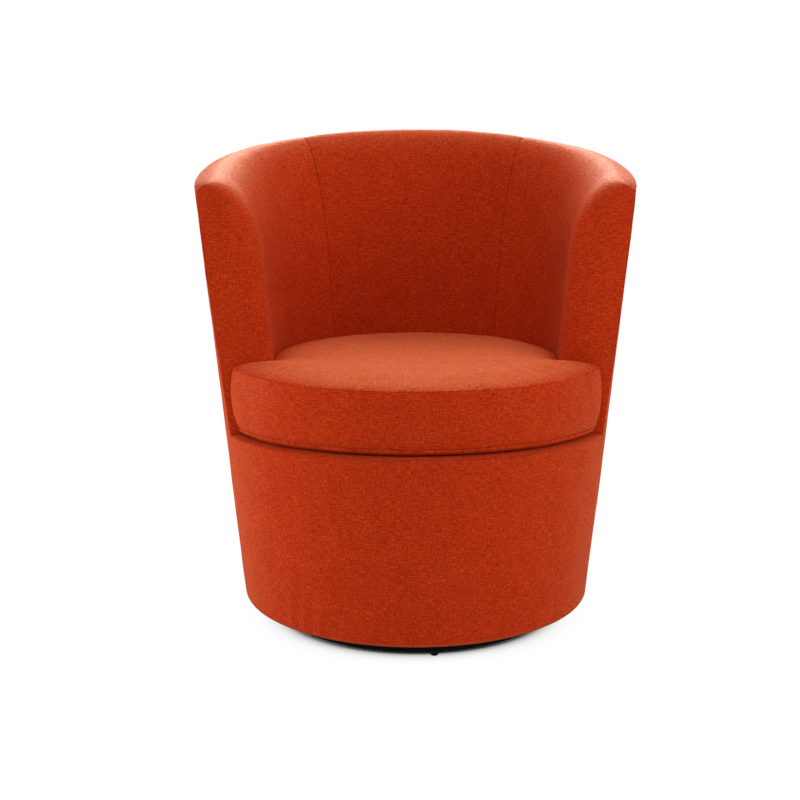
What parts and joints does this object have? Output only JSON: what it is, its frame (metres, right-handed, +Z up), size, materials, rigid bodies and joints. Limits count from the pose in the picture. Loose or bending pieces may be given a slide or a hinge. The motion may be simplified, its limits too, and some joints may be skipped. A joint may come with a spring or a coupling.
{
  "type": "swivel chair",
  "caption": "Upholstered tub chair: a tapered drum with a wrap-around sloping back, a loose seat cushion with a rounded front, and a round swivel base on glides.",
  "frame": {"origin": "on the floor, under the middle of the overall plan; the swivel axis stands 22.9 mm nearer the front", "axes": "+Z up, -Y towards the front of the chair, +X towards the viewer's right when facing the chair's front"},
  "size_m": [0.76, 0.7101, 0.86],
  "materials": {
    "cover_fabric": "matte",
    "foam": "matte",
    "wadding": "matte",
    "plywood": "matte",
    "hardboard": "matte",
    "black_board": "matte",
    "black_plastic": "satin",
    "zinc_steel": "satin",
    "black_cloth": "matte"
  },
  "bodies": {
    "base": {"glide_1": "black_plastic", "glide_2": "black_plastic", "glide_3": "black_plastic", "glide_4": "black_plastic", "glide_5": "black_plastic", "glide_6": "black_plastic", "base_board": "black_board", "lower_plate": "zinc_steel", "lower_screws": "zinc_steel", "pivot_rivet": "zinc_steel"},
    "ball_cage": {"ball_cage": "zinc_steel", "bearing_balls": "zinc_steel"},
    "chair": {"upper_plate": "zinc_steel", "upper_bolts": "zinc_steel", "tee_nuts": "zinc_steel", "bottom_board": "plywood", "drum_post_1": "plywood", "drum_post_2": "plywood", "drum_post_3": "plywood", "drum_post_4": "plywood", "drum_post_5": "plywood", "drum_post_6": "plywood", "drum_post_7": "plywood", "drum_post_8": "plywood", "seat_ring": "plywood", "drum_board": "hardboard", "drum_wadding": "wadding", "webbing_long": "black_cloth", "webbing_cross": "black_cloth", "back_post_1": "plywood", "back_post_2": "plywood", "back_post_3": "plywood", "back_post_4": "plywood", "back_post_5": "plywood", "arm_post_left": "plywood", "arm_post_right": "plywood", "top_rail": "plywood", "tub_board": "hardboard", "tub_wadding": "wadding", "inner_back_board": "hardboard", "inner_arm_board_left": "hardboard", "inner_arm_board_right": "hardboard", "back_pad": "foam", "arm_pad_left": "foam", "arm_pad_right": "foam", "deck_pad": "foam", "outer_cover": "cover_fabric", "back_cover": "cover_fabric", "arm_cover_left": "cover_fabric", "arm_cover_right": "cover_fabric", "ledge_cover": "cover_fabric", "platform_cloth": "black_cloth", "dust_cover": "black_cloth", "cover_staples": "zinc_steel"},
    "cushion": {"cushion_core": "foam", "cushion_top": "cover_fabric", "cushion_border": "cover_fabric", "cushion_base": "cover_fabric", "cushion_zip": "black_cloth"}
  },
  "joints": [
    {"name": "swivel", "type": "hinge", "parent": "base", "child": "chair", "pos_m": [0, -0.02287, 0.0395], "axis": [0, 0, 1], "continuous": true},
    {"name": "cage_turn", "type": "hinge", "parent": "base", "child": "ball_cage", "pos_m": [0, -0.02287, 0.0395], "axis": [0, 0, 1], "continuous": true},
    {"name": "cushion_lift", "type": "slide", "parent": "chair", "child": "cushion", "axis": [0, 0, 1], "range_m": [0, 0.45]}
  ],
  "couplings": [
    {"joint": "cage_turn", "follows": "swivel", "ratio": 0.5}
  ]
}
